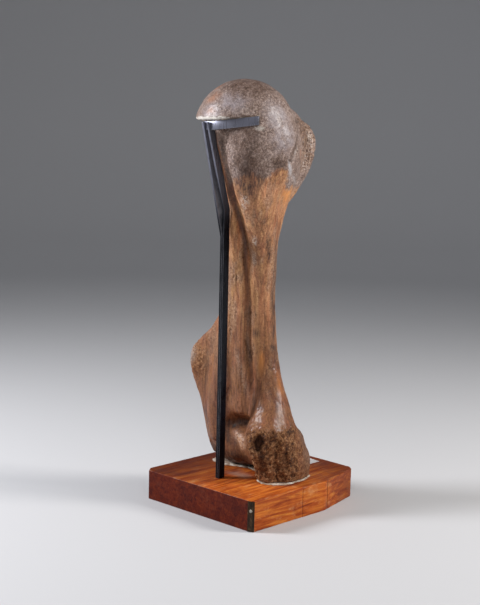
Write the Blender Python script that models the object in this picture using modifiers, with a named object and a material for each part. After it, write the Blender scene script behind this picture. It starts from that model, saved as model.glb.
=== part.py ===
"""Fossil mammoth humerus standing on its wooden plinth, held by a steel cradle.

Units are metres and +Z is up. The origin is the centre of the plinth's underside.
-X is the back of the bone (the side the head leans to), -Y is its inner side.
"""
import math

import bmesh
import bpy
from mathutils import Matrix, Vector

# Driving dimensions
FIT_GAP = 0.0003

PLINTH_HEIGHT = 0.0687
PLINTH_BACK_X = 0.188
PLINTH_OUTER_Y = 0.174
PLINTH_INNER_Y = -0.1715
PLINTH_EDGE_ROUNDING = 0.0015

PUTTY_BED_HEIGHT = 0.0025
BONE_BASE_Z = PLINTH_HEIGHT + PUTTY_BED_HEIGHT + 2 * FIT_GAP

HEAD_RADIUS = 0.113
HEAD_CENTRE = Vector((-0.0673, -0.0036, 0.8568))

BAR_DEPTH = 0.018
BAR_THICKNESS = 0.0055
BAR_BACK_X = -0.119
BAR_INNER_Y = 0.0035
OUTER_BEND_Z = 0.622
INNER_BEND_Z = 0.682
ARM_TOP_Z = 0.872
INNER_ARM_LEAN = 0.0547
OUTER_ARM_LEAN = 0.0530
OUTER_ARM_SPREAD = 0.0105

STRAP_BACK_X = -0.1655
STRAP_MIDDLE_Y = 0.009
STRAP_INNER_RADIUS = 0.169
STRAP_OUTER_RADIUS = 0.092
STRAP_HEIGHT = 0.019
STRAP_THICKNESS = 0.005
STRAP_INNER_ANGLE = math.radians(41)
STRAP_OUTER_ANGLE = math.radians(11.5)
LIP_OUTER_ANGLE = math.radians(60)
STRAP_TOP_BACK = 0.8745
STRAP_RISE_INNER = 0.0120
STRAP_RISE_OUTER = 0.0060
PUTTY_BEAD_HEIGHT = 0.0015
SEAT_CLEARANCE = 0.004
SEAT_BEYOND_ENDS = 0.004
NOTCH_DEPTH = 0.030
NOTCH_ABOVE = 0.020

VOXEL = 0.0038
FORM_SOFTENING = 24
EDGE_SOFTENING = 8
BONE_TRIANGLES_KEPT = 0.068


# Scene and collections
for leftover in list(bpy.data.objects):
    bpy.data.objects.remove(leftover)

parts = bpy.data.collections.new("mammoth_humerus")
bpy.context.scene.collection.children.link(parts)
cutters = bpy.data.collections.new("cutters")
bpy.context.scene.collection.children.link(cutters)


def finish(name, colour, roughness, metallic=0.0):
    """A Principled material in one colour."""
    material = bpy.data.materials.new(name)
    material.use_nodes = True
    shader = material.node_tree.nodes["Principled BSDF"]
    shader.inputs["Base Color"].default_value = (*colour, 1.0)
    shader.inputs["Roughness"].default_value = roughness
    shader.inputs["Metallic"].default_value = metallic
    return material


def new_object(name, shape, collection, material=None):
    """Turn a bmesh into a named object."""
    mesh = bpy.data.meshes.new(name)
    bmesh.ops.recalc_face_normals(shape, faces=shape.faces)
    shape.to_mesh(mesh)
    shape.free()
    thing = bpy.data.objects.new(name, mesh)
    collection.objects.link(thing)
    if material:
        mesh.materials.append(material)
    return thing


def as_guide(thing):
    """A cutter or guide shows as a wire and is never rendered."""
    thing.hide_render = True
    thing.display_type = "WIRE"
    return thing


# Pieces that the bone's form is built up from
def limb(name, stations):
    """A round rod through stations of x, y, z and radius, as one closed mesh."""
    curve = bpy.data.curves.new(name, "CURVE")
    curve.dimensions = "3D"
    curve.bevel_depth = 1.0
    curve.bevel_resolution = 5
    curve.resolution_u = 6
    curve.use_fill_caps = True
    spline = curve.splines.new("BEZIER")
    spline.radius_interpolation = "CARDINAL"
    spline.bezier_points.add(len(stations) - 1)
    for point, (x, y, z, radius) in zip(spline.bezier_points, stations):
        point.co = (x, y, z)
        point.radius = radius
        point.handle_left_type = "AUTO"
        point.handle_right_type = "AUTO"
    rod = bpy.data.objects.new(name, curve)
    bpy.context.scene.collection.objects.link(rod)
    evaluated = rod.evaluated_get(bpy.context.evaluated_depsgraph_get())
    mesh = bpy.data.meshes.new_from_object(evaluated)
    bpy.data.objects.remove(rod)
    shape = bmesh.new()
    shape.from_mesh(mesh)
    bpy.data.meshes.remove(mesh)
    bmesh.ops.remove_doubles(shape, verts=shape.verts, dist=0.0001)
    return shape


def boss(centre, radii):
    """An ellipsoid with its axes along x, y and z."""
    shape = bmesh.new()
    place = Matrix.Translation(centre) @ Matrix.Diagonal((*radii, 1.0))
    bmesh.ops.create_uvsphere(shape, u_segments=32, v_segments=20, radius=1.0, matrix=place)
    return shape


def loft(sections, squareness=2.4, sides=28):
    """A closed skin over level sections: z, centre x, centre y, half length in x, half length in y."""
    shape = bmesh.new()
    rings = []
    for z, centre_x, centre_y, half_x, half_y in sections:
        ring = []
        for step in range(sides):
            angle = 2 * math.pi * step / sides
            across = math.copysign(abs(math.cos(angle)) ** (2 / squareness), math.cos(angle))
            along = math.copysign(abs(math.sin(angle)) ** (2 / squareness), math.sin(angle))
            ring.append(shape.verts.new((centre_x + half_x * across, centre_y + half_y * along, z)))
        rings.append(ring)
    for low, high in zip(rings, rings[1:]):
        for step in range(sides):
            after = (step + 1) % sides
            shape.faces.new((low[step], low[after], high[after], high[step]))
    shape.faces.new(reversed(rings[0]))
    shape.faces.new(rings[-1])
    return shape


def plate(outline, half_thickness):
    """A flat plate standing across the bone: an outline of x, y and z points, thickened in x."""
    shape = bmesh.new()
    front = [shape.verts.new((x + half_thickness, y, z)) for x, y, z in outline]
    back = [shape.verts.new((x - half_thickness, y, z)) for x, y, z in outline]
    shape.faces.new(front)
    shape.faces.new(reversed(back))
    count = len(outline)
    for step in range(count):
        after = (step + 1) % count
        shape.faces.new((front[step], back[step], back[after], front[after]))
    return shape


def gathered(name, shapes, collection):
    """Put several overlapping shapes in one object; a voxel remesh then fuses them."""
    everything = bmesh.new()
    for shape in shapes:
        bmesh.ops.recalc_face_normals(shape, faces=shape.faces)
        mesh = bpy.data.meshes.new("piece")
        shape.to_mesh(mesh)
        shape.free()
        everything.from_mesh(mesh)
        bpy.data.meshes.remove(mesh)
    mesh = bpy.data.meshes.new(name)
    everything.to_mesh(mesh)
    everything.free()
    thing = bpy.data.objects.new(name, mesh)
    collection.objects.link(thing)
    return thing


def strap_top(y):
    """Height of the strap's top edge, which rises from the back to both of its ends."""
    if y < STRAP_MIDDLE_Y:
        reach = STRAP_INNER_RADIUS * math.sin(STRAP_INNER_ANGLE)
        rise = STRAP_RISE_INNER
    else:
        reach = STRAP_OUTER_RADIUS * math.sin(LIP_OUTER_ANGLE)
        rise = STRAP_RISE_OUTER
    share = min(1.0, abs(y - STRAP_MIDDLE_Y) / reach)
    return STRAP_TOP_BACK + rise * share ** 1.5


def strap_band(inside, outside, low, high, outer_angle=LIP_OUTER_ANGLE, beyond_ends=0.0, steps=36):
    """A band on the strap's line, between two depths behind its face and two heights over its top."""
    shape = bmesh.new()
    rings = []
    for step in range(steps + 1):
        first = -outer_angle - beyond_ends
        last = STRAP_INNER_ANGLE + beyond_ends
        angle = first + (last - first) * step / steps
        bend = STRAP_INNER_RADIUS if angle > 0 else STRAP_OUTER_RADIUS
        top = strap_top(STRAP_MIDDLE_Y - bend * math.sin(angle))
        ring = []
        for depth, height in ((inside, low), (outside, low), (outside, high), (inside, high)):
            x = STRAP_BACK_X + bend - (bend - depth) * math.cos(angle)
            y = STRAP_MIDDLE_Y - (bend - depth) * math.sin(angle)
            ring.append(shape.verts.new((x, y, top + height)))
        rings.append(ring)
    for here, there in zip(rings, rings[1:]):
        for corner in range(4):
            after = (corner + 1) % 4
            shape.faces.new((here[corner], there[corner], there[after], here[after]))
    shape.faces.new(rings[0])
    shape.faces.new(reversed(rings[-1]))
    return shape


# The humerus: columns of the shaft
INNER_COLUMN = [
    (-0.030, -0.030, 0.800, 0.060),
    (-0.0146, -0.0165, 0.700, 0.055),
    (-0.0171, -0.0112, 0.600, 0.040),
    (-0.0136, -0.0147, 0.470, 0.034),
    (-0.0126, -0.0243, 0.350, 0.036),
    (-0.0127, -0.0370, 0.280, 0.040),
    (-0.0118, -0.0593, 0.200, 0.048),
]
OUTER_COLUMN = [
    (-0.0660, 0.0060, 0.880, 0.0340),
    (-0.0560, 0.0100, 0.790, 0.0330),
    (-0.0530, 0.0125, 0.740, 0.0310),
    (-0.0500, 0.0150, 0.700, 0.0300),
    (-0.0500, 0.0180, 0.620, 0.0300),
    (-0.0440, 0.0260, 0.540, 0.0330),
    (-0.0360, 0.0300, 0.470, 0.0360),
    (-0.0360, 0.0450, 0.380, 0.0400),
    (-0.0330, 0.0680, 0.280, 0.0420),
    (-0.0250, 0.0850, 0.200, 0.0430),
    (-0.0080, 0.0880, 0.140, 0.0460),
]
FRONT_COLUMN = [
    (0.030, 0.030, 0.760, 0.060),
    (0.018, 0.030, 0.680, 0.045),
    (0.011, 0.036, 0.580, 0.037),
    (0.011, 0.036, 0.470, 0.035),
    (0.012, 0.020, 0.350, 0.040),
    (0.016, 0.006, 0.260, 0.038),
    (0.020, 0.000, 0.170, 0.036),
]
SHAFT_CORE = [
    (-0.030, 0.016, 0.840, 0.068),
    (0.000, 0.030, 0.740, 0.060),
    (0.004, 0.032, 0.640, 0.050),
    (0.002, 0.032, 0.500, 0.043),
    (0.000, 0.030, 0.380, 0.040),
]
BACK_WEB = [
    (-0.040, 0.004, 0.600, 0.030),
    (-0.034, 0.006, 0.480, 0.033),
    (-0.030, 0.006, 0.380, 0.036),
    (-0.027, 0.010, 0.300, 0.036),
    (-0.023, 0.013, 0.245, 0.036),
    (-0.021, 0.014, 0.205, 0.036),
]
INNER_NECK = [
    (-0.112, -0.034, 0.874, 0.032),
    (-0.098, -0.042, 0.790, 0.045),
    (-0.078, -0.040, 0.740, 0.050),
    (-0.052, -0.032, 0.680, 0.048),
    (-0.028, -0.021, 0.600, 0.041),
    (-0.015, -0.015, 0.500, 0.033),
    (-0.012, -0.012, 0.420, 0.026),
]
BACK_RIDGE = [
    (-0.1515, -0.0115, 0.884, 0.0110),
    (-0.1515, -0.0115, 0.857, 0.0118),
    (-0.1270, -0.0080, 0.790, 0.0140),
    (-0.0930, -0.0030, 0.700, 0.0175),
    (-0.0720, 0.0080, 0.620, 0.0220),
    (-0.0500, 0.0220, 0.540, 0.0260),
]
OUTER_SIDE = [
    (-0.030, 0.048, 0.880, 0.040),
    (-0.020, 0.054, 0.800, 0.041),
    (-0.010, 0.058, 0.700, 0.038),
    (-0.006, 0.056, 0.600, 0.036),
    (-0.005, 0.052, 0.500, 0.034),
    (-0.010, 0.052, 0.400, 0.036),
]
OUTER_NECK = [
    (0.008, 0.060, 0.850, 0.044),
    (0.010, 0.064, 0.780, 0.043),
    (0.011, 0.063, 0.700, 0.039),
    (0.010, 0.057, 0.620, 0.034),
]
DELTOID_CREST = [
    (0.050, 0.070, 0.790, 0.042),
    (0.040, 0.066, 0.680, 0.037),
    (0.028, 0.060, 0.580, 0.032),
    (0.016, 0.050, 0.500, 0.028),
    (0.006, 0.042, 0.420, 0.026),
]
LESSER_TUBERCLE = [
    (0.012, -0.036, 0.820, 0.058),
    (0.010, -0.032, 0.780, 0.055),
    (0.004, -0.027, 0.740, 0.050),
    (-0.003, -0.020, 0.690, 0.043),
    (-0.006, -0.016, 0.630, 0.036),
]
GREATER_TUBERCLE = [
    (0.016, -0.006, 0.650, 0.020),
    (0.034, -0.012, 0.690, 0.021),
    (0.056, -0.022, 0.725, 0.023),
    (0.0765, -0.0305, 0.762, 0.025),
    (0.0945, -0.0305, 0.802, 0.029),
    (0.1035, -0.0195, 0.848, 0.030),
    (0.090, 0.026, 0.860, 0.034),
    (0.072, 0.062, 0.845, 0.038),
    (0.044, 0.086, 0.805, 0.040),
]

# The humerus: outer supracondylar crest, as its outer edge from top to bottom
OUTER_CREST_EDGE = [
    (-0.044, 0.062, 0.450),
    (-0.048, 0.094, 0.402),
    (-0.053, 0.128, 0.366),
    (-0.057, 0.156, 0.337),
    (-0.057, 0.157, 0.308),
    (-0.055, 0.148, 0.276),
    (-0.050, 0.129, 0.232),
    (-0.040, 0.126, 0.185),
    (-0.026, 0.126, 0.137),
    (-0.012, 0.118, 0.090),
]
OUTER_CREST_RADIUS = 0.012
OUTER_CREST_HALF_THICKNESS = 0.011

# The humerus: inner epicondyle, with the condyle under it
INNER_EPICONDYLE = [
    (0.060, 0.000, -0.086, 0.068, 0.044),
    (0.090, -0.002, -0.087, 0.073, 0.047),
    (0.118, -0.008, -0.087, 0.078, 0.048),
    (0.150, -0.024, -0.081, 0.078, 0.050),
    (0.185, -0.032, -0.075, 0.066, 0.046),
    (0.210, -0.026, -0.067, 0.052, 0.042),
    (0.240, -0.016, -0.056, 0.042, 0.039),
    (0.270, -0.012, -0.042, 0.036, 0.036),
]
TROCHLEA = [
    (0.010, -0.096, 0.130, 0.058),
    (0.010, -0.050, 0.134, 0.066),
    (0.014, 0.000, 0.138, 0.061),
    (0.016, 0.040, 0.131, 0.062),
    (0.018, 0.085, 0.126, 0.062),
    (0.014, 0.118, 0.120, 0.050),
]
PROXIMAL_BODY = [
    (0.680, -0.016, -0.016, 0.052, 0.048),
    (0.720, -0.022, -0.024, 0.064, 0.060),
    (0.755, -0.030, -0.030, 0.076, 0.074),
    (0.790, -0.036, -0.033, 0.086, 0.086),
    (0.830, -0.044, -0.030, 0.089, 0.090),
    (0.860, -0.048, -0.022, 0.090, 0.096),
    (0.900, -0.050, -0.012, 0.080, 0.088),
]

OUTER_TUBERCLE_CENTRE = (0.036, 0.034, 0.812)
OUTER_TUBERCLE_RADII = (0.066, 0.076, 0.070)
GROOVE_FLOOR_CENTRE = (0.050, 0.000, 0.838)
GROOVE_FLOOR_RADII = (0.046, 0.050, 0.046)
LESSER_TUBERCLE_CENTRE = (0.016, -0.036, 0.832)
LESSER_TUBERCLE_RADII = (0.062, 0.058, 0.082)
FOSSA_FLOOR_CENTRE = (0.008, 0.036, 0.214)
FOSSA_FLOOR_RADII = (0.044, 0.074, 0.110)

OUTER_CREST_ROOT = [
    (-0.030, 0.030, 0.090),
    (-0.040, 0.020, 0.470),
]
crest_edge = [(x, y, z, OUTER_CREST_RADIUS) for x, y, z in OUTER_CREST_EDGE]
crest_outline = OUTER_CREST_EDGE + OUTER_CREST_ROOT


def shaft_and_neck():
    """The columns, ridges and tubercles of the upper bone, without the head."""
    return [
        limb("inner_column", INNER_COLUMN),
        limb("outer_column", OUTER_COLUMN),
        limb("front_column", FRONT_COLUMN),
        limb("shaft_core", SHAFT_CORE),
        limb("inner_neck", INNER_NECK),
        limb("lesser_tubercle", LESSER_TUBERCLE),
        limb("outer_side", OUTER_SIDE),
        limb("outer_neck", OUTER_NECK),
        limb("deltoid_crest", DELTOID_CREST),
        limb("greater_tubercle", GREATER_TUBERCLE),
        loft(PROXIMAL_BODY, squareness=2.0),
        boss(OUTER_TUBERCLE_CENTRE, OUTER_TUBERCLE_RADII),
        boss(GROOVE_FLOOR_CENTRE, GROOVE_FLOOR_RADII),
    ]


bone = gathered("humerus", shaft_and_neck() + [
    limb("back_web", BACK_WEB),
    limb("outer_crest_edge", crest_edge),
    plate(crest_outline, OUTER_CREST_HALF_THICKNESS),
    loft(INNER_EPICONDYLE),
    limb("trochlea", TROCHLEA),
    boss(LESSER_TUBERCLE_CENTRE, LESSER_TUBERCLE_RADII),
    boss(FOSSA_FLOOR_CENTRE, FOSSA_FLOOR_RADII),
    boss(HEAD_CENTRE, (HEAD_RADIUS,) * 3),
], parts)
bone.data.materials.append(finish("bone_fossil", (0.23, 0.15, 0.10), 0.55))

# The head is undercut below its lip on the back and outer side, down to the neck
UNDERCUT_FROM = math.radians(-135)
UNDERCUT_TO = math.radians(66)
UNDERCUT_FOOT = 0.738
UNDERCUT_REACH = 0.060
UNDERCUT_START = 0.002
DEEP_CUT = 0.070
DEEP_CUT_TO = math.radians(26)
DEEP_CUT_FADE = math.radians(18)
SEAT_CUT = 0.032
SEAT_CUT_FADE = math.radians(44)
OUTER_FADE = math.radians(36)


def eased(share):
    """A soft step from 0 to 1."""
    share = max(0.0, min(1.0, share))
    return share * share * (3 - 2 * share)


def undercut_depth(angle):
    """How far the head is cut in below its lip; the angle is from straight back, inner side positive."""
    deep = DEEP_CUT * eased((DEEP_CUT_TO - angle) / DEEP_CUT_FADE)
    seat = SEAT_CUT * min(1.0, (UNDERCUT_TO - angle) / SEAT_CUT_FADE)
    return max(deep, seat) * eased((angle - UNDERCUT_FROM) / OUTER_FADE)


def undercut(steps=60):
    """The space below the lip, deepest at the back and outer side and fading out on the inner side."""
    shape = bmesh.new()
    rings = []
    for step in range(steps + 1):
        angle = UNDERCUT_FROM + (UNDERCUT_TO - UNDERCUT_FROM) * step / steps
        inner = HEAD_RADIUS + UNDERCUT_START - undercut_depth(angle)
        outer = HEAD_RADIUS + UNDERCUT_REACH
        top = strap_top(HEAD_CENTRE.y - inner * math.sin(angle)) + PUTTY_BEAD_HEIGHT + FIT_GAP
        ring = []
        for radius, z in ((inner, UNDERCUT_FOOT), (outer, UNDERCUT_FOOT), (outer, top), (inner, top)):
            x = HEAD_CENTRE.x - radius * math.cos(angle)
            y = HEAD_CENTRE.y - radius * math.sin(angle)
            ring.append(shape.verts.new((x, y, z)))
        rings.append(ring)
    for here, there in zip(rings, rings[1:]):
        for corner in range(4):
            after = (corner + 1) % 4
            shape.faces.new((here[corner], there[corner], there[after], here[after]))
    shape.faces.new(rings[0])
    shape.faces.new(reversed(rings[-1]))
    return shape


def boolean(target, tool, operation):
    """Cut or join with the exact solver."""
    modifier = target.modifiers.new(tool.name, "BOOLEAN")
    modifier.operation = operation
    modifier.solver = "EXACT"
    modifier.object = tool


def remesh(target, size):
    """Fuse everything inside the outer surface into one even skin."""
    modifier = target.modifiers.new("fuse", "REMESH")
    modifier.mode = "VOXEL"
    modifier.voxel_size = size


def smooth(target, times):
    """Soften the creases between the fused forms."""
    modifier = target.modifiers.new("soften", "SMOOTH")
    modifier.factor = 0.5
    modifier.iterations = times


# The neck under the head, which the undercut leaves standing
neck = as_guide(gathered("neck", shaft_and_neck(), cutters))
remesh(neck, VOXEL)
smooth(neck, FORM_SOFTENING)
lip_cut = as_guide(new_object("lip_cut", undercut(), cutters))
boolean(lip_cut, neck, "DIFFERENCE")
back_ridge = as_guide(new_object("back_ridge", limb("ridge", BACK_RIDGE), cutters))

# Hollows of the bone
BICIPITAL_GROOVE = [
    (0.062, -0.066, 0.730, 0.010),
    (0.074, -0.066, 0.780, 0.014),
    (0.076, -0.060, 0.840, 0.018),
    (0.070, -0.036, 0.915, 0.028),
]
OLECRANON_FOSSA_CENTRE = (-0.064, 0.006, 0.183)
OLECRANON_FOSSA_RADII = (0.055, 0.050, 0.024)
EPICONDYLE_PIT = [
    (-0.100, -0.098, 0.180, 0.010),
    (-0.100, -0.099, 0.170, 0.018),
    (-0.094, -0.104, 0.150, 0.012),
    (-0.088, -0.106, 0.128, 0.010),
    (-0.086, -0.104, 0.104, 0.011),
    (-0.086, -0.104, 0.088, 0.008),
]
EPICONDYLE_FACE = [
    (-0.080, -0.152, 0.200, 0.016),
    (-0.080, -0.152, 0.178, 0.040),
    (-0.080, -0.152, 0.152, 0.0495),
    (-0.080, -0.152, 0.120, 0.0545),
    (-0.080, -0.152, 0.090, 0.0545),
    (-0.080, -0.152, 0.066, 0.0530),
]
COLUMN_VALLEY = [
    (-0.1440, -0.0280, 0.7800, 0.005),
    (-0.1251, -0.0219, 0.7378, 0.008),
    (-0.1118, -0.0188, 0.7047, 0.011),
    (-0.0978, -0.0183, 0.6714, 0.012),
    (-0.0852, -0.0163, 0.6376, 0.012),
    (-0.0725, -0.0143, 0.6034, 0.012),
    (-0.0638, -0.0131, 0.5691, 0.012),
    (-0.0600, -0.0140, 0.5237, 0.011),
    (-0.0573, -0.0159, 0.4782, 0.010),
    (-0.0567, -0.0169, 0.4325, 0.010),
    (-0.0559, -0.0175, 0.3865, 0.010),
    (-0.0518, -0.0214, 0.3404, 0.010),
    (-0.0510, -0.0273, 0.2947, 0.010),
    (-0.0560, -0.0370, 0.2507, 0.008),
    (-0.0680, -0.0440, 0.2100, 0.006),
]
BAR_HOLLOW = [
    (-0.1025, 0.0066, 0.6450, 0.0045),
    (-0.1022, 0.0066, 0.6650, 0.0065),
    (-0.1022, 0.0066, 0.6860, 0.0068),
    (-0.1085, 0.0070, 0.7100, 0.0065),
    (-0.1510, 0.0075, 0.8540, 0.006),
]
hollows = [
    new_object("bar_hollow", limb("bar_hollow", BAR_HOLLOW), cutters),
    new_object("column_valley", limb("valley", COLUMN_VALLEY), cutters),
    new_object("olecranon_fossa", boss(OLECRANON_FOSSA_CENTRE, OLECRANON_FOSSA_RADII), cutters),
    new_object("bicipital_groove", limb("groove", BICIPITAL_GROOVE), cutters),
    new_object("epicondyle_pit", limb("pit", EPICONDYLE_PIT), cutters),
    new_object("epicondyle_face", limb("face", EPICONDYLE_FACE), cutters),
]

remesh(bone, VOXEL)
smooth(bone, FORM_SOFTENING)
boolean(bone, lip_cut, "DIFFERENCE")
boolean(bone, back_ridge, "UNION")
for hollow in hollows:
    boolean(bone, as_guide(hollow), "DIFFERENCE")
remesh(bone, VOXEL)
smooth(bone, EDGE_SOFTENING)
thin = bone.modifiers.new("thin", "DECIMATE")
thin.ratio = BONE_TRIANGLES_KEPT

# Flat foot, and the seat where the head rests on the strap
foot_cut_shape = bmesh.new()
bmesh.ops.create_cube(foot_cut_shape, size=1.0, matrix=Matrix.Translation((0, 0, BONE_BASE_Z - 0.5)))
foot_cut = as_guide(new_object("foot_cut", foot_cut_shape, cutters))
boolean(bone, foot_cut, "DIFFERENCE")
seat_shape = strap_band(
    inside=STRAP_THICKNESS + FIT_GAP, outside=-SEAT_CLEARANCE,
    low=-STRAP_HEIGHT - FIT_GAP, high=PUTTY_BEAD_HEIGHT + 2 * FIT_GAP,
    beyond_ends=SEAT_BEYOND_ENDS)
seat_cut = as_guide(new_object("seat_cut", seat_shape, cutters))
boolean(bone, seat_cut, "DIFFERENCE")

# Plinth: a hand-cut block of wood, its inner front edge bending back to the right
PLINTH_OUTLINE = [
    (-0.1835, -0.1530),
    (-0.1765, -0.1660),
    (0.0500, PLINTH_INNER_Y),
    (0.1790, -0.1425),
    (PLINTH_BACK_X, -0.1300),
    (PLINTH_BACK_X, 0.1640),
    (0.1790, PLINTH_OUTER_Y),
    (-0.1780, PLINTH_OUTER_Y),
    (-0.1935, 0.1610),
]
plinth_shape = bmesh.new()
plinth_foot = plinth_shape.faces.new([plinth_shape.verts.new((x, y, 0)) for x, y in PLINTH_OUTLINE])
raised = bmesh.ops.extrude_face_region(plinth_shape, geom=[plinth_foot])
raised_points = [item for item in raised["geom"] if isinstance(item, bmesh.types.BMVert)]
bmesh.ops.translate(plinth_shape, verts=raised_points, vec=(0, 0, PLINTH_HEIGHT))
plinth = new_object("plinth", plinth_shape, parts, finish("plinth_wood", (0.30, 0.06, 0.02), 0.35))
rounding = plinth.modifiers.new("rounded_edges", "BEVEL")
rounding.width = PLINTH_EDGE_ROUNDING
rounding.segments = 2

# Bronze plate on the clipped corner, with its screw
CORNER_LOW = Vector((*PLINTH_OUTLINE[0], 0))
CORNER_HIGH = Vector((*PLINTH_OUTLINE[1], 0))
corner_along = (CORNER_HIGH - CORNER_LOW).normalized()
corner_out = Vector((corner_along.y, -corner_along.x, 0))
PLATE_THICKNESS = 0.0015
PLATE_WIDTH = (CORNER_HIGH - CORNER_LOW).length + 0.001
PLATE_HEIGHT = PLINTH_HEIGHT - 0.0015
corner_middle = (CORNER_LOW + CORNER_HIGH) / 2
corner_turn = math.atan2(corner_along.y, corner_along.x)


def on_corner(stand_off, height):
    """A place in front of the clipped corner, facing out from it."""
    place = corner_middle + corner_out * stand_off + Vector((0, 0, height))
    return Matrix.Translation(place) @ Matrix.Rotation(corner_turn, 4, "Z")


plate_shape = bmesh.new()
bmesh.ops.create_cube(plate_shape, size=1.0, matrix=on_corner(
    FIT_GAP + PLATE_THICKNESS / 2, PLINTH_HEIGHT / 2) @ Matrix.Diagonal(
    (PLATE_WIDTH, PLATE_THICKNESS, PLATE_HEIGHT, 1.0)))
bronze = finish("bronze", (0.05, 0.035, 0.02), 0.4, 1.0)
corner_plate = new_object("corner_plate", plate_shape, parts, bronze)

SCREW_Z = 0.0467
SCREW_HEAD_RADIUS = 0.0034
SCREW_HEAD_HEIGHT = 0.0016
screw_shape = bmesh.new()
bmesh.ops.create_cone(
    screw_shape, cap_ends=True, segments=20, radius1=SCREW_HEAD_RADIUS,
    radius2=SCREW_HEAD_RADIUS * 0.7, depth=SCREW_HEAD_HEIGHT,
    matrix=on_corner(PLATE_THICKNESS + 2 * FIT_GAP + SCREW_HEAD_HEIGHT / 2, SCREW_Z)
    @ Matrix.Rotation(math.radians(90), 4, "X"))
screw_steel = finish("screw_steel", (0.6, 0.58, 0.5), 0.3, 1.0)
corner_screw = new_object("corner_screw", screw_shape, parts, screw_steel)

# Steel stand: two flat bars on edge, side by side up to their bends, then parting
black_steel = finish("black_steel", (0.02, 0.02, 0.024), 0.4, 0.6)


def bar(name, inner_y, bend_z, lean, spread):
    """One flat bar: upright to the bend, then leaning back to the strap."""
    shape = bmesh.new()
    foot_z = PLINTH_HEIGHT + FIT_GAP
    middle = Vector((BAR_BACK_X + BAR_DEPTH / 2, inner_y + BAR_THICKNESS / 2, (foot_z + bend_z) / 2))
    size = Matrix.Diagonal((BAR_DEPTH, BAR_THICKNESS, bend_z - foot_z, 1.0))
    bmesh.ops.create_cube(shape, size=1.0, matrix=Matrix.Translation(middle) @ size)
    shape.faces.ensure_lookup_table()
    top = max(shape.faces, key=lambda face: face.calc_center_median().z)
    longer = bmesh.ops.extrude_face_region(shape, geom=[top])
    tip = [item for item in longer["geom"] if isinstance(item, bmesh.types.BMVert)]
    bmesh.ops.translate(shape, verts=tip, vec=(-lean, spread, ARM_TOP_Z - bend_z))
    bmesh.ops.delete(shape, geom=[top], context="FACES_ONLY")
    thing = new_object(name, shape, parts, black_steel)
    boolean(thing, strap_notch, "DIFFERENCE")
    return thing


notch_shape = strap_band(
    inside=NOTCH_DEPTH, outside=-FIT_GAP, low=-STRAP_HEIGHT - FIT_GAP, high=NOTCH_ABOVE)
strap_notch = as_guide(new_object("strap_notch", notch_shape, cutters))
support_bar_inner = bar("support_bar_inner", BAR_INNER_Y, INNER_BEND_Z, INNER_ARM_LEAN, 0.0)
BAR_OUTER_Y = BAR_INNER_Y + BAR_THICKNESS + FIT_GAP
support_bar_outer = bar(
    "support_bar_outer", BAR_OUTER_Y, OUTER_BEND_Z, OUTER_ARM_LEAN, OUTER_ARM_SPREAD)

# Strap under the lip of the head, ending behind the outer arm, and the putty bead along the lip
strap_shape = strap_band(
    inside=STRAP_THICKNESS, outside=0.0, low=-STRAP_HEIGHT, high=0.0, outer_angle=STRAP_OUTER_ANGLE)
cradle_strap = new_object("cradle_strap", strap_shape, parts, black_steel)
putty = finish("white_putty", (0.75, 0.72, 0.65), 0.8)
bead_shape = strap_band(
    inside=STRAP_THICKNESS, outside=0.0, low=FIT_GAP, high=FIT_GAP + PUTTY_BEAD_HEIGHT)
putty_bead = new_object("putty_bead", bead_shape, parts, putty)

# Putty bed under the two feet of the bone
BED_OUTLINE = [
    (-0.074, -0.068), (-0.076, -0.094), (-0.068, -0.114), (-0.054, -0.128),
    (-0.034, -0.137), (-0.006, -0.138), (0.022, -0.136), (0.042, -0.131),
    (0.062, -0.120), (0.073, -0.102), (0.076, -0.080), (0.068, -0.058),
    (0.054, -0.040), (0.046, 0.000), (0.052, 0.050), (0.062, 0.090),
    (0.052, 0.124), (0.020, 0.142), (-0.014, 0.142), (-0.034, 0.124),
    (-0.042, 0.094), (-0.037, 0.066), (-0.022, 0.040), (-0.012, 0.012),
    (-0.022, -0.024), (-0.052, -0.048),
]
bed_shape = bmesh.new()
bed_z = PLINTH_HEIGHT + FIT_GAP
bed_foot = bed_shape.faces.new([bed_shape.verts.new((x, y, bed_z)) for x, y in BED_OUTLINE])
bed_raised = bmesh.ops.extrude_face_region(bed_shape, geom=[bed_foot])
bed_points = [item for item in bed_raised["geom"] if isinstance(item, bmesh.types.BMVert)]
bmesh.ops.translate(bed_shape, verts=bed_points, vec=(0, 0, PUTTY_BED_HEIGHT))
putty_bed = new_object("putty_bed", bed_shape, parts, putty)

# Paper label lying on the plinth behind the inner foot
LABEL_CENTRE = Vector((0.146, -0.037))
LABEL_SIZE = Vector((0.038, 0.034))
LABEL_THICKNESS = 0.0004
label_shape = bmesh.new()
label_place = Vector((*LABEL_CENTRE, PLINTH_HEIGHT + FIT_GAP + LABEL_THICKNESS / 2))
bmesh.ops.create_cube(label_shape, size=1.0, matrix=Matrix.Translation(label_place) @ Matrix.Diagonal(
    (*LABEL_SIZE, LABEL_THICKNESS, 1.0)))
paper_label = new_object("paper_label", label_shape, parts, finish("paper", (0.85, 0.85, 0.85), 0.7))
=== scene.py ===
"""Fossil mammoth humerus on its wooden plinth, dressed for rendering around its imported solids."""
import math

import bmesh
import bpy
import numpy as np
from mathutils import Matrix, Vector, noise
from mathutils.bvhtree import BVHTree


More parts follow.
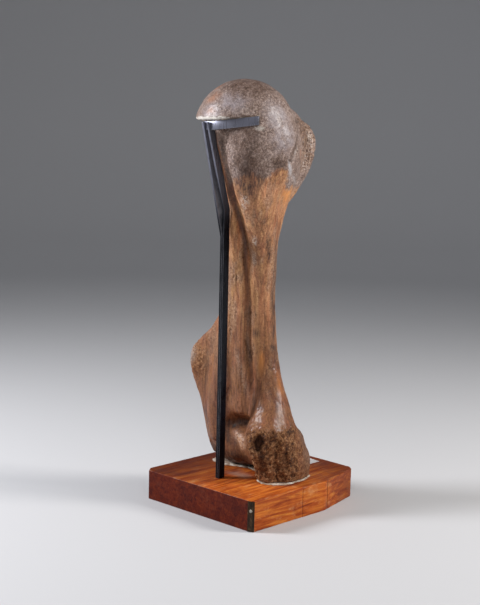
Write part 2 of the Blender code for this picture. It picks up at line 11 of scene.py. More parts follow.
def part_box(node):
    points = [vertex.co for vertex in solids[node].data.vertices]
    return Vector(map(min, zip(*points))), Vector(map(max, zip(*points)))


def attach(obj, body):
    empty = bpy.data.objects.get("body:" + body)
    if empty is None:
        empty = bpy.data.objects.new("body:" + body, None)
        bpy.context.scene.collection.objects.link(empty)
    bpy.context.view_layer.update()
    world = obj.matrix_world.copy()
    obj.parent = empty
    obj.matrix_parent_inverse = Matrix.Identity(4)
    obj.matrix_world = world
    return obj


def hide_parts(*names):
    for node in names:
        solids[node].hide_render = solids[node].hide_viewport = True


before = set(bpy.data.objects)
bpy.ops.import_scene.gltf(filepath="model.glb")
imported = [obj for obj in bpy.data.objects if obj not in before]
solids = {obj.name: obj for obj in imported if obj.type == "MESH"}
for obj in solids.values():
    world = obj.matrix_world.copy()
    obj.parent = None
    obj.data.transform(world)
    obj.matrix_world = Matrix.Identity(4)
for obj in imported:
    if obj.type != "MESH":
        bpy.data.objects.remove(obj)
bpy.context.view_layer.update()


# The plinth. A block of red-brown hardwood planed by hand, its inner front side bending back to
# the right. It is varnished, its arrises are worn and carry a painted highlight, and the inner side
# shows two glued joints. Its back side and far parts are darker with painted shade.
PLINTH_OUTLINE = [
    (-0.1835, -0.1530), (-0.1765, -0.1660), (0.0500, -0.1715), (0.1790, -0.1425), (0.1880, -0.1300),
    (0.1880, 0.1640), (0.1790, 0.1740), (-0.1780, 0.1740), (-0.1935, 0.1610)]
PLINTH_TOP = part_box("plinth")[1].z
OUTLINE_STEP = 0.005
ARRIS = 0.0017
SIDE_ROWS = 9
TOP_INSETS = (0.004, 0.009, 0.018, 0.035, 0.065, 0.100, 0.135)
TOP_REACH = 0.18
WAVE_LENGTH = 0.035
WAVINESS = 0.0004
CHIP_SIZE = 0.012
CHIP_DEPTH = 0.0009
INNER_SIDE_Y = -0.14
JOINTS_X = (-0.024, 0.063)
JOINT_DEPTH = 0.0007
JOINT_HALF_WIDTH = 0.0010


def soft_step(low, high, value):
    """0 below low and 1 above high, easing between them; low may be the greater."""
    share = np.clip((value - low) / (high - low), 0, 1)
    return share * share * (3 - 2 * share)


def lumps(points, size, seed, octaves=4):
    """Fractal noise from about -1 to 1, with lumps of the given size."""
    scaled = points / np.array(size) + seed
    return np.array([noise.fractal(place, 0.8, 2.0, octaves) for place in scaled.tolist()])


def closed_path(corners, step):
    """Points spaced evenly along the sides between corners, keeping the corners."""
    points = []
    for start, end in zip(corners, corners[1:] + corners[:1]):
        count = max(1, round(math.dist(start, end) / step))
        points += [np.array(start) + (np.array(end) - np.array(start)) * i / count for i in range(count)]
    return np.array(points)


def inwards(path):
    """The inward direction at each point of a closed path that runs anticlockwise."""
    along = np.roll(path, -1, axis=0) - np.roll(path, 1, axis=0)
    along /= np.linalg.norm(along, axis=1)[:, None]
    return np.stack([-along[:, 1], along[:, 0]], axis=1)


def put_in_scene(name, data):
    """A new object in the scene, with the given mesh, light or camera."""
    thing = bpy.data.objects.new(name, data)
    bpy.context.scene.collection.objects.link(thing)
    return thing


def piece_from(shape, name):
    """A new object with a worked shape as its mesh."""
    mesh = bpy.data.meshes.new(name)
    shape.to_mesh(mesh)
    shape.free()
    return put_in_scene(name, mesh)


def skin_over(name, rings, closed=True):
    """A mesh over rings of equally many points, the first ring filled, and the last if closed."""
    shape = bmesh.new()
    rows = [[shape.verts.new(point) for point in ring] for ring in rings]
    for low, high in zip(rows, rows[1:]):
        for i in range(len(low)):
            j = (i + 1) % len(low)
            shape.faces.new((low[i], low[j], high[j], high[i]))
    shape.faces.new(list(reversed(rows[0])))
    if closed:
        shape.faces.new(rows[-1])
        bmesh.ops.recalc_face_normals(shape, faces=shape.faces)
    return piece_from(shape, name)


def keep_mask(mesh, name, values):
    """Store a value for each point, for the material to read."""
    layer = mesh.attributes.new(name, "FLOAT", "POINT")
    layer.data.foreach_set("value", np.clip(values, 0, 1).astype(np.float32))


outline = closed_path(PLINTH_OUTLINE, OUTLINE_STEP)
beside_joints = []
for point in outline:
    near = [x for x in JOINTS_X if abs(point[0] - x) < OUTLINE_STEP / 2 and point[1] < INNER_SIDE_Y]
    offsets = (-JOINT_HALF_WIDTH, 0, JOINT_HALF_WIDTH)
    beside_joints += [(near[0] + offset, point[1]) for offset in offsets] if near else [tuple(point)]
outline = np.array(beside_joints)
inward = inwards(outline)
on_inner_side = outline[:, 1] < INNER_SIDE_Y
joint = np.max([soft_step(JOINT_HALF_WIDTH, 0, np.abs(outline[:, 0] - x)) for x in JOINTS_X], axis=0)
joint = joint * on_inner_side
side_heights = [ARRIS + (PLINTH_TOP - 2 * ARRIS) * i / SIDE_ROWS for i in range(SIDE_ROWS + 1)]
QUARTER = [math.radians(angle) for angle in (22.5, 45, 67.5, 90)]
profile = [(ARRIS * (1 - math.cos(a)), ARRIS * (1 - math.sin(a)), 1.0) for a in reversed(QUARTER)]
profile += [(0.0, height, 0.0) for height in side_heights]
profile += [(ARRIS * (1 - math.cos(a)), PLINTH_TOP - ARRIS * (1 - math.sin(a)), 1.0) for a in QUARTER]
profile += [(inset, PLINTH_TOP, 0.0) for inset in TOP_INSETS]
rings = []
edge_rows = []
joint_rows = []
for inset, height, on_edge in profile:
    ring = np.column_stack([outline + inward * inset, np.full(len(outline), height)])
    if ARRIS < inset:
        ring[:, :2] = outline * (1 - inset / TOP_REACH)
    wave = WAVINESS * np.clip(1 + lumps(ring, WAVE_LENGTH, 4.1, 3), 0.2, 2)
    ring[:, :2] += inward * wave[:, None]
    if on_edge and height > ARRIS:
        chips = np.clip(lumps(ring, CHIP_SIZE, 7.3, 3) - 0.15, 0, 1)
        ring[:, :2] += inward * (CHIP_DEPTH * chips)[:, None]
    if height < PLINTH_TOP:
        ring[:, :2] += inward * (JOINT_DEPTH * joint)[:, None]
    rings.append(ring)
    edge_rows.append(np.full(len(ring), on_edge))
    joint_rows.append(joint if height < PLINTH_TOP and inset <= ARRIS else np.zeros(len(ring)))
plinth = skin_over("plinth_block", rings)
keep_mask(plinth.data, "arris", np.concatenate(edge_rows))
keep_mask(plinth.data, "joint", np.concatenate(joint_rows))


def fill_inputs(tree, node, inputs):
    """Link or set the inputs of a node."""
    for socket, value in dict(inputs).items():
        if isinstance(value, bpy.types.NodeSocket):
            tree.links.new(value, node.inputs[socket])
        else:
            node.inputs[socket].default_value = value


def add_node(tree, kind, inputs=(), **settings):
    """Add a node to a material, with its settings, values and links."""
    node = tree.nodes.new(kind)
    for name, value in settings.items():
        setattr(node, name, value)
    fill_inputs(tree, node, inputs)
    return node


def stretch(tree, scale, turn=(0, 0, 0)):
    """Object coordinates, scaled and turned."""
    place = add_node(tree, "ShaderNodeTexCoord").outputs["Object"]
    mapping = {"Vector": place, "Scale": scale, "Rotation": turn}
    return add_node(tree, "ShaderNodeMapping", mapping).outputs[0]


def cloud(tree, place, scale, detail=4.0, roughness=0.55, distortion=0.0):
    """A noise value from 0 to 1."""
    return add_node(tree, "ShaderNodeTexNoise", {
        "Vector": place, "Scale": scale, "Detail": detail,
        "Roughness": roughness, "Distortion": distortion}).outputs[0]


def tones(tree, value, stops):
    """A colour read off a row of tones."""
    node = add_node(tree, "ShaderNodeValToRGB", {0: value})
    row = node.color_ramp.elements
    while len(row) < len(stops):
        row.new(0.5)
    for element, (place, colour) in zip(row, stops):
        element.position = place
        element.color = (*colour, 1.0)
    return node.outputs["Color"]


def mix(tree, share, first, second, mode="MIX"):
    """Mix two colours; each may be a link or a fixed colour."""
    ends = [end if isinstance(end, bpy.types.NodeSocket) else (*end, 1.0) for end in (first, second)]
    return add_node(tree, "ShaderNodeMix", {0: share, 6: ends[0], 7: ends[1]},
                    data_type="RGBA", blend_type=mode, clamp_factor=True).outputs[2]


def arithmetic(tree, operation, *values):
    """A sum, product or other operation on values."""
    return add_node(tree, "ShaderNodeMath", dict(enumerate(values)), operation=operation).outputs[0]


def product(tree, *values):
    """Values multiplied together."""
    result = values[0]
    for value in values[1:]:
        result = arithmetic(tree, "MULTIPLY", result, value)
    return result


def between(tree, value, low, high, to_low=0.0, to_high=1.0):
    """A value brought from one range to another, and held there."""
    return add_node(tree, "ShaderNodeMapRange", {
        0: value, 1: low, 2: high, 3: to_low, 4: to_high}, interpolation_type="SMOOTHSTEP").outputs[0]


def mask_of(tree, name):
    """A mask stored on the mesh."""
    return add_node(tree, "ShaderNodeAttribute", attribute_name=name).outputs["Fac"]


def new_finish(name):
    """A material with its node tree and its shader."""
    material = bpy.data.materials.new(name)
    material.use_nodes = True
    return material, material.node_tree, material.node_tree.nodes["Principled BSDF"]


def relief(tree, shader, height, strength, distance):
    """Small relief in the shading."""
    bump = add_node(tree, "ShaderNodeBump", {"Height": height, "Strength": strength, "Distance": distance})
    tree.links.new(bump.outputs[0], shader.inputs["Normal"])


def dress(piece, finish, node, sharp_above=None):
    """Give a finished piece its material, smooth shading and body, and hide its solid."""
    piece.data.materials.append(finish)
    piece.data.shade_smooth()
    if sharp_above:
        piece.data.set_sharp_from_angle(angle=math.radians(sharp_above))
    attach(piece, "root")
    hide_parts(node)


plinth_finish, tree, shader = new_finish("plinth_wood")
place = stretch(tree, (1, 1, 1))
GRAIN_TURN = (0, 0, 0.04)
figure = cloud(tree, stretch(tree, (2.2, 34, 34), GRAIN_TURN), 3.4, 7, 0.66, 0.9)
pore_lines = cloud(tree, stretch(tree, (14, 300, 300), GRAIN_TURN), 1.6, 4, 0.6)
board_blotch = cloud(tree, place, 16, 5, 0.62, 0.6)
axes = add_node(tree, "ShaderNodeSeparateXYZ", {0: place})
wood_colour = tones(tree, figure, [
    (0.30, (0.190, 0.028, 0.006)), (0.43, (0.370, 0.068, 0.011)),
    (0.54, (0.520, 0.130, 0.020)), (0.66, (0.680, 0.230, 0.034)), (0.80, (0.760, 0.380, 0.090))])
wood_colour = mix(tree, 0.85, wood_colour, tones(tree, board_blotch, [
    (0.34, (0.52, 0.34, 0.34)), (0.50, (0.90, 0.86, 0.84)), (0.66, (1.0, 1.0, 1.0))]), "MULTIPLY")
light_spots = cloud(tree, stretch(tree, (1, 2.4, 2.4), GRAIN_TURN), 24, 6, 0.68)
spot_share = between(tree, light_spots, 0.54, 0.70, 0.0, 0.55)
wood_colour = mix(tree, spot_share, wood_colour, (0.600, 0.290, 0.120))
pore_share = between(tree, pore_lines, 0.56, 0.72, 0.0, 0.4)
wood_colour = mix(tree, pore_share, wood_colour, (0.085, 0.016, 0.006))
normal = add_node(tree, "ShaderNodeNewGeometry").outputs["Normal"]
facing = add_node(tree, "ShaderNodeSeparateXYZ", {0: normal})
# Painted shade: the side facing the back, and the far parts of the plinth, are made darker and redder
on_back_side = between(tree, facing.outputs["X"], -0.5, -0.9)
painted_shade_share = arithmetic(tree, "MAXIMUM", between(tree, axes.outputs["Y"], -0.02, 0.15, 0.0, 0.80),
                    between(tree, axes.outputs["X"], 0.04, 0.17, 0.0, 0.55))
painted_shade_share = arithmetic(tree, "MAXIMUM", painted_shade_share, product(tree, on_back_side, 0.95))
painted_shade_wood = mix(tree, 1.0, wood_colour, (0.17, 0.045, 0.042), "MULTIPLY")
wood_colour = mix(tree, painted_shade_share, wood_colour, painted_shade_wood)
wood_colour = mix(tree, product(tree, mask_of(tree, "joint"), 0.8), wood_colour, (0.050, 0.012, 0.006))
# Paler on the upward-facing rounding of the arrises: part wear, part painted highlight
wear_and_highlight_patches = between(tree, cloud(tree, place, 85, 5, 0.65), 0.50, 0.66, 0.0, 0.45)
worn_and_lit_arris = product(tree, mask_of(tree, "arris"), wear_and_highlight_patches, between(tree, facing.outputs["Z"], 0.1, 0.4))
wood_colour = mix(tree, worn_and_lit_arris, wood_colour, (0.340, 0.170, 0.110))
# A pale grey haze on the top, in front of the foot of the bone
pale_haze = product(
    tree, between(tree, facing.outputs["Z"], 0.8, 0.95),
    between(tree, axes.outputs["X"], -0.020, -0.060), between(tree, axes.outputs["X"], -0.085, -0.060),
    between(tree, axes.outputs["Y"], -0.050, -0.025), between(tree, axes.outputs["Y"], 0.050, 0.015),
    between(tree, board_blotch, 0.36, 0.52, 0.3, 1.0))
wood_colour = mix(tree, product(tree, pale_haze, 0.55), wood_colour, (0.300, 0.220, 0.190))
fill_inputs(tree, shader, {
    "Base Color": wood_colour,
    "Roughness": between(tree, board_blotch, 0.3, 0.7, 0.30, 0.50),
    "Specular IOR Level": 0.12,
    "Coat Weight": 0.03,
    "Coat Roughness": 0.25})
relief(tree, shader, arithmetic(tree, "ADD", figure, pore_lines), 0.35, 0.0007)
dress(plinth, plinth_finish, "plinth", 40)


# The corner plate. A strip of dark, tarnished bronze over the clipped corner of the plinth, held
# by one bright round-headed screw with a slot.
JOIN_WITHIN = 0.00002
FLAT_WITHIN = math.radians(0.5)
ROUND_ABOVE = math.radians(40)


def merged_copy(node, name):
    """A copy of a solid's mesh, its loose triangles joined, as a new object."""
    mesh = solids[node].data.copy()
    mesh.materials.clear()
    shape = bmesh.new()
    shape.from_mesh(mesh)
    bmesh.ops.remove_doubles(shape, verts=shape.verts, dist=JOIN_WITHIN)
    shape.to_mesh(mesh)
    shape.free()
    return put_in_scene(name, mesh)


def apply_modifiers(piece):
    """Turn a piece's live modifiers into plain mesh."""
    evaluated = piece.evaluated_get(bpy.context.evaluated_depsgraph_get())
    mesh = bpy.data.meshes.new_from_object(evaluated)
    piece.modifiers.clear()
    piece.data = mesh
    mesh.name = piece.name


def rounded_copy(node, name, width, segments=3):
    """A solid's copy with its edges rounded."""
    piece = merged_copy(node, name)
    dissolved = bmesh.new()
    dissolved.from_mesh(piece.data)
    bmesh.ops.dissolve_limit(
        dissolved, angle_limit=FLAT_WITHIN, verts=dissolved.verts, edges=dissolved.edges)
    dissolved.to_mesh(piece.data)
    dissolved.free()
    round_over = piece.modifiers.new("round", "BEVEL")
    round_over.width = width
    round_over.segments = segments
    round_over.limit_method = "ANGLE"
    round_over.angle_limit = ROUND_ABOVE
    apply_modifiers(piece)
    return piece


bronze_finish, tree, shader = new_finish("bronze")
tarnish = cloud(tree, stretch(tree, (1, 1, 0.35)), 170, 6, 0.65)
bronze_colour = tones(tree, tarnish, [
    (0.35, (0.020, 0.012, 0.008)), (0.55, (0.055, 0.030, 0.015)), (0.74, (0.200, 0.120, 0.050))])
fill_inputs(tree, shader, {
    "Base Color": bronze_colour,
    "Metallic": 0.7,
    "Roughness": between(tree, tarnish, 0.3, 0.7, 0.60, 0.38)})
relief(tree, shader, tarnish, 0.35, 0.0005)
PLATE_ROUND = 0.0005
corner_strip = rounded_copy("corner_plate", "corner_strip", PLATE_ROUND)
dress(corner_strip, bronze_finish, "corner_plate", 50)

SCREW_LOW, SCREW_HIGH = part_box("corner_screw")
clip_start, clip_end = PLINTH_OUTLINE[:2]
SCREW_OUT = Vector((clip_end[1] - clip_start[1], clip_start[0] - clip_end[0], 0)).normalized()
SCREW_ACROSS = Vector((SCREW_OUT.y, -SCREW_OUT.x, 0))
SCREW_RADIUS = (SCREW_HIGH.z - SCREW_LOW.z) / 2
SCREW_HEIGHT = 0.0016
SCREW_PROFILE = ((0.0, 1.0), (0.35, 1.0), (0.62, 0.93), (0.82, 0.78), (0.94, 0.55), (1.0, 0.28))
SCREW_SIDES = 28
SLOT_HALF_WIDTH = 0.00055
SLOT_DEPTH = 0.0008
SLOT_TURN = math.radians(35)
screw_middle = (SCREW_LOW + SCREW_HIGH) / 2
screw_rings = []
for share, radius in SCREW_PROFILE:
    ring = []
    for step in range(SCREW_SIDES):
        angle = math.tau * step / SCREW_SIDES
        side = SCREW_RADIUS * radius * math.cos(angle)
        rise = SCREW_RADIUS * radius * math.sin(angle)
        across_slot = abs(side * math.sin(SLOT_TURN) - rise * math.cos(SLOT_TURN))
        sunk = SLOT_DEPTH if across_slot < SLOT_HALF_WIDTH and share > 0.5 else 0.0
        stand = SCREW_HEIGHT * (share - 0.5) - sunk
        ring.append(screw_middle + SCREW_OUT * stand + SCREW_ACROSS * side + Vector((0, 0, rise)))
    screw_rings.append(ring)
screw_head = skin_over("screw_head", screw_rings)
screw_finish, tree, shader = new_finish("screw_steel")
screw_wear = cloud(tree, stretch(tree, (1, 1, 1)), 600, 4, 0.6)
screw_colour = tones(tree, screw_wear, [(0.35, (0.26, 0.22, 0.17)), (0.65, (0.66, 0.62, 0.54))])
fill_inputs(tree, shader, {"Base Color": screw_colour, "Metallic": 1.0, "Roughness": 0.30})
dress(screw_head, screw_finish, "corner_screw", 45)


# The stand. Two flat bars of black-painted steel on edge rise side by side from the plinth, part
# above their bend, and carry a flat strap bent round the back of the head, its inner end
# hammered flat. The paint is satin and thin, grey along the edges where it is rubbed and where a
# highlight is painted, and towards the head it carries painted light.
EDGE_ROUND = 0.0008
steel_finish, tree, shader = new_finish("black_steel")
place = stretch(tree, (1, 1, 1))
brushing = cloud(tree, stretch(tree, (1, 1, 0.16)), 190, 6, 0.68)
dust = cloud(tree, place, 34, 6, 0.62)
scuffs = cloud(tree, stretch(tree, (1, 1, 0.5)), 420, 3, 0.6)
steel_colour = tones(tree, brushing, [(0.35, (0.0015, 0.0015, 0.003)), (0.68, (0.005, 0.006, 0.010))])
steel_colour = mix(tree, between(tree, dust, 0.58, 0.80, 0.0, 0.08), steel_colour, (0.050, 0.044, 0.042))
steel_colour = mix(tree, between(tree, scuffs, 0.70, 0.80, 0.0, 0.20), steel_colour, (0.100, 0.095, 0.100))
# Painted light: the head end stands in the light, so there the strap and the arms are a duller, greyer and
# lighter blue, and partly metallic
axes = add_node(tree, "ShaderNodeSeparateXYZ", {0: place})
painted_light_near_head = between(tree, axes.outputs["Z"], 0.64, 0.80)
steel_colour = mix(tree, product(tree, painted_light_near_head, 0.85), steel_colour, (0.230, 0.235, 0.290))
# Greyer along the edges: part rubbed paint, part painted highlight
rubbed_and_lit_edges = product(tree, mask_of(tree, "edge"), between(tree, dust, 0.36, 0.6, 0.25, 0.8))
steel_colour = mix(tree, rubbed_and_lit_edges, steel_colour, (0.200, 0.200, 0.225))
fill_inputs(tree, shader, {
    "Base Color": steel_colour,
    "Metallic": product(tree, painted_light_near_head, 0.60),
    "Roughness": between(tree, brushing, 0.3, 0.7, 0.24, 0.36),
    "Specular IOR Level": 0.14})
relief(tree, shader, brushing, 0.2, 0.0004)

KINK_Y = -0.076
TAB_TURN = math.radians(7)
STEEL_PIECES = {
    "support_bar_inner": "bar_inner",
    "support_bar_outer": "bar_outer",
    "cradle_strap": "strap",
}


def mark_edges(mesh):
    """Mark the narrow faces, which round the edges over, as edge."""
    layer = mesh.attributes.new("edge", "FLOAT", "FACE")
    for face in mesh.polygons:
        sides = sorted((mesh.vertices[a].co - mesh.vertices[b].co).length for a, b in face.edge_keys)
        layer.data[face.index].value = 1.0 if sides[0] < EDGE_ROUND else 0.0


for node, name in STEEL_PIECES.items():
    steel = rounded_copy(node, name, EDGE_ROUND)
    if node == "cradle_strap":
        tab = [vertex for vertex in steel.data.vertices if vertex.co.y < KINK_Y]
        by_kink = min(steel.data.vertices, key=lambda vertex: abs(vertex.co.y - KINK_Y) + vertex.co.x)
        hinge = by_kink.co.copy()
        swing = Matrix.Translation(hinge) @ Matrix.Rotation(-TAB_TURN, 4, "Z") @ Matrix.Translation(-hinge)
        for vertex in tab:
            vertex.co = swing @ vertex.co
    mark_edges(steel.data)
    dress(steel, steel_finish, node, 50)


# The fossil bone. It is mineralised bone, heavy as stone and lightly varnished, one piece from
# its round head to the condyles. The form comes from its solid; the pits, fibres, cracks and
# broken faces are worked into a fine skin over it.
BONE_SKIN_CELL = 0.0022


def reskin(piece, cell):
    """Replace a piece's faces by an even skin of small cells."""
    skin = piece.modifiers.new("skin", "REMESH")
    skin.mode = "VOXEL"
    skin.voxel_size = cell
    skin.use_smooth_shade = True
    apply_modifiers(piece)


def points_of(mesh, what="vertices", field="co"):
    """The places or normals of a mesh's points as an array."""
    values = np.zeros(len(mesh.vertices) * 3)
    getattr(mesh, what).foreach_get(field, values)
    return values.reshape(-1, 3)


def place_points(mesh, points):
    """Move a mesh's points to the places in an array."""
    mesh.vertices.foreach_set("co", points.ravel())
    mesh.update()


def relaxed(mesh, points, weight, times):
    """Draw each point towards its neighbours, as far as its weight lets it."""
    edges = np.zeros(len(mesh.edges) * 2, dtype=int)
    mesh.edges.foreach_get("vertices", edges)
    here = np.concatenate([edges[0::2], edges[1::2]])
    there = np.concatenate([edges[1::2], edges[0::2]])
    neighbours = np.bincount(here, minlength=len(points))[:, None]
    pull = 0.5 * weight[:, None]
    for _ in range(times):
        total = np.stack([np.bincount(here, points[there, axis], len(points)) for axis in range(3)], axis=1)
        points = points + pull * (total / neighbours - points)
    return points


def distance_to(nodes, points):
    """Distance from each point to the nearest of some solids."""
    corners = []
    faces = []
    for node in nodes:
        mesh = solids[node].data
        faces += [[corner + len(corners) for corner in face.vertices] for face in mesh.polygons]
        corners += [vertex.co.copy() for vertex in mesh.vertices]
    tree = BVHTree.FromPolygons(corners, faces)
    return np.array([tree.find_nearest(point)[3] for point in points.tolist()])


def patch(points, centre, radii):
    """1 at the middle of an oval patch of the surface, easing to 0 at its edge."""
    away = np.linalg.norm((points - np.array(centre)) / np.array(radii), axis=1)
    return soft_step(1.0, 0.25, away)


def stripe(points, stations, half_width, core=0.2):
    """1 along a line through stations, easing to 0 at its half width; the ends taper."""
    best = np.zeros(len(points))
    last = len(stations) - 1
    for step, (start, end) in enumerate(zip(stations, stations[1:])):
        start, end = np.array(start), np.array(end)
        run = end - start
        share = np.clip((points - start) @ run / (run @ run), 0, 1)
        away = np.linalg.norm(points - start - share[:, None] * run, axis=1)
        taper = np.minimum(1, 2.0 * np.minimum(step + share, last - step - share) + 0.35)
        best = np.maximum(best, soft_step(1.0, core, away / half_width) * taper)
    return best


def pits(points, size, seed, width=0.42):
    """Round pits scattered one to a cell: 1 at the bottom, 0 at and outside the rim."""
    scaled = points / np.array(size) + seed
    away = np.array([noise.voronoi(place)[0][0] for place in scaled.tolist()])
    return soft_step(width, width * 0.2, away)


def ridges(points, size, seed, octaves=4):
    """Sharp crests and soft hollows between them, from about -1 to 1."""
    scaled = points / np.array(size) + seed
    return np.array([noise.ridged_multi_fractal(place, 0.9, 2.1, octaves, 0.9, 2.0)
                     for place in scaled.tolist()]) - 1.1


def cracks(points, size, seed, sharpness=0.08):
    """Thin lines along the zero of a noise: 1 on the line, 0 away from it."""
    return soft_step(sharpness, 0.0, np.abs(lumps(points, size, seed, octaves=2)))


bone = merged_copy("humerus", "fossil_bone")
reskin(bone, BONE_SKIN_CELL)
skin_mesh = bone.data
skin = points_of(skin_mesh)

# The skin is held still where the strap, the bars and the putty touch it
HELD_NEAR = 0.0012
HELD_FREE = 0.008
HOLDERS = ["cradle_strap", "putty_bead", "putty_bed", "support_bar_inner", "support_bar_outer"]
held_by = distance_to(HOLDERS, skin)
free = soft_step(HELD_NEAR, HELD_FREE, held_by)

# Facets are eased away everywhere, and more so below the head and in the fossa
FACET_EASING = 14
FLOW_EASING = 140
FOSSA_EASING = 110
skin = relaxed(skin_mesh, skin, free, FACET_EASING)
below_head = (soft_step(0.690, 0.730, skin[:, 2]) * soft_step(0.835, 0.800, skin[:, 2])
              * soft_step(-0.030, -0.060, skin[:, 1]) * soft_step(0.06, 0.02, skin[:, 0]))
skin = relaxed(skin_mesh, skin, free * below_head, FLOW_EASING)
in_fossa = patch(skin, (-0.045, 0.020, 0.180), (0.075, 0.090, 0.080))
skin = relaxed(skin_mesh, skin, free * in_fossa, FOSSA_EASING)
place_points(skin_mesh, skin)
x, y, z = skin[:, 0], skin[:, 1], skin[:, 2]

# Lines that can be followed on the bone, as stations down its length
COLUMN_VALLEY = [
    (-0.161, -0.008, 0.851), (-0.156, -0.013, 0.830), (-0.149, -0.013, 0.813), (-0.142, -0.015, 0.796),
    (-0.136, -0.016, 0.781), (-0.123, -0.016, 0.744), (-0.106, -0.010, 0.704), (-0.084, -0.011, 0.659),
    (-0.065, -0.010, 0.614), (-0.057, -0.004, 0.563), (-0.053, -0.007, 0.523), (-0.051, -0.010, 0.477),
    (-0.048, -0.013, 0.385), (-0.044, -0.018, 0.316), (-0.050, -0.035, 0.249), (-0.075, -0.050, 0.210)]
COLUMN_STRIP = [
    (-0.163, 0.004, 0.851), (-0.151, 0.000, 0.813), (-0.138, -0.003, 0.781), (-0.125, -0.003, 0.744),
    (-0.108, 0.002, 0.704)]
HEAD_GROOVE = [
    (0.023, -0.076, 0.889), (0.000, -0.101, 0.860), (-0.018, -0.115, 0.827), (-0.033, -0.118, 0.801),
    (-0.040, -0.117, 0.788)]
# A painted highlight on the lit edge of the lump below the head, with a branch
HIGHLIGHT_STREAK = [
    (-0.042, -0.118, 0.797), (-0.038, -0.115, 0.782), (-0.028, -0.109, 0.769), (-0.020, -0.102, 0.755)]
HIGHLIGHT_STREAK_BRANCH = [(-0.016, -0.105, 0.762), (0.007, -0.090, 0.748), (0.030, -0.070, 0.742)]
ARCH_RIM = [
    (-0.095, -0.060, 0.178), (-0.092, -0.065, 0.190), (-0.086, -0.078, 0.199), (-0.080, -0.091, 0.201),
    (-0.070, -0.106, 0.198), (-0.054, -0.115, 0.193), (-0.025, -0.120, 0.187), (0.004, -0.121, 0.174)]
DEEP_PIT = [
    (-0.095, -0.087, 0.184), (-0.090, -0.092, 0.174), (-0.089, -0.089, 0.160), (-0.090, -0.088, 0.152)]
FACE_FURROW = [
    (-0.091, -0.090, 0.176), (-0.089, -0.095, 0.147), (-0.082, -0.095, 0.116), (-0.073, -0.094, 0.086)]
FACE_BORDER = [
    (-0.099, -0.074, 0.180), (-0.101, -0.079, 0.162), (-0.095, -0.078, 0.135), (-0.083, -0.074, 0.108),
    (-0.070, -0.066, 0.085)]
FACE_RIBS = [
    [(-0.063, -0.107, 0.170), (-0.060, -0.107, 0.146), (-0.066, -0.102, 0.120), (-0.058, -0.104, 0.090)],
    [(-0.040, -0.116, 0.160), (-0.048, -0.112, 0.138), (-0.040, -0.116, 0.110), (-0.030, -0.124, 0.088)],
]
LEFT_COLUMN_STRIPE = [(-0.065, 0.011, 0.360), (-0.059, -0.004, 0.304), (-0.049, -0.015, 0.250)]
FOSSA_HOLLOW = [
    (-0.049, 0.058, 0.178), (-0.034, 0.043, 0.178), (-0.021, 0.036, 0.182), (-0.010, 0.020, 0.186)]
BESIDE_BULGE = [(-0.047, 0.056, 0.166), (-0.046, 0.050, 0.150), (-0.045, 0.047, 0.127)]
BULGE = [(-0.042, 0.030, 0.160), (-0.043, 0.016, 0.149), (-0.046, 0.003, 0.138), (-0.045, -0.004, 0.122)]
EDGE_STAIN = [
    (-0.012, -0.055, 0.620), (-0.005, -0.048, 0.550), (-0.003, -0.046, 0.470), (-0.003, -0.048, 0.430),
    (-0.010, -0.055, 0.385), (-0.012, -0.062, 0.330)]
UPPER_STAIN = [(-0.053, -0.068, 0.640), (-0.041, -0.061, 0.606), (-0.028, -0.056, 0.570)]

# The gray, pitted ends of the bone, with a ragged lower edge that differs round the neck
EDGE_TURNS = (-180, -165, -152, -142, -131, -120, -107, -97, -84, -60, -19, 30, 90, 140, 165, 180)
EDGE_HEIGHTS = (0.738, 0.745, 0.755, 0.766, 0.750, 0.760, 0.770, 0.774, 0.735, 0.728, 0.730, 0.742, 0.736,
                0.744, 0.738, 0.738)
NECK_MIDDLE = (-0.030, -0.010)
turn = np.degrees(np.arctan2(y - NECK_MIDDLE[1], x - NECK_MIDDLE[0]))
edge_height = np.interp(turn, EDGE_TURNS, EDGE_HEIGHTS)
ragged = 0.009 * lumps(skin, 0.020, 3.1) + 0.008 * lumps(skin, (0.007, 0.007, 0.020), 8.7, 3)
proximal_gray = soft_step(-0.006, 0.008, z - edge_height + ragged)
proximal_gray = proximal_gray * (1 - 0.9 * stripe(skin, COLUMN_STRIP, 0.011, 0.5))
distal_gray = 0.7 * soft_step(-0.01, 0.04, x) * soft_step(0.20, 0.16, z + 3 * ragged)
gray = np.maximum(proximal_gray, distal_gray)

# Rough broken bone: the face of the inner epicondyle, the porous greater tubercle, the crest
face = (soft_step(0.202, 0.188, z + ragged) * soft_step(-0.050, -0.068, y + ragged)
        * soft_step(0.020, -0.012, x + 2 * ragged))
face_side = soft_step(0.196, 0.180, z + ragged) * soft_step(-0.050, -0.068, y) * (1 - face)
past_groove = x * 0.77 - (y + 0.101) * 0.64
tubercle = (soft_step(0.008, 0.036, x + ragged) * soft_step(0.040, 0.000, y) * soft_step(0.750, 0.795, z)
            * soft_step(0.900, 0.870, z) * soft_step(-0.020, 0.004, past_groove))
crest = patch(skin, (-0.066, 0.140, 0.318), (0.060, 0.050, 0.075))
condyles = soft_step(0.19, 0.17, z) * soft_step(-0.060, -0.040, y)
rough = np.clip(face + 0.45 * face_side + 0.22 * tubercle + 0.65 * crest + 0.25 * condyles, 0, 1)
shaft = (1 - gray) * (1 - face) * (1 - 0.6 * face_side)
spongy = soft_step(0.05, 0.35, lumps(skin, (0.025, 0.025, 0.090), 21.3, 3)) * shaft * soft_step(0.28, 0.33, z)

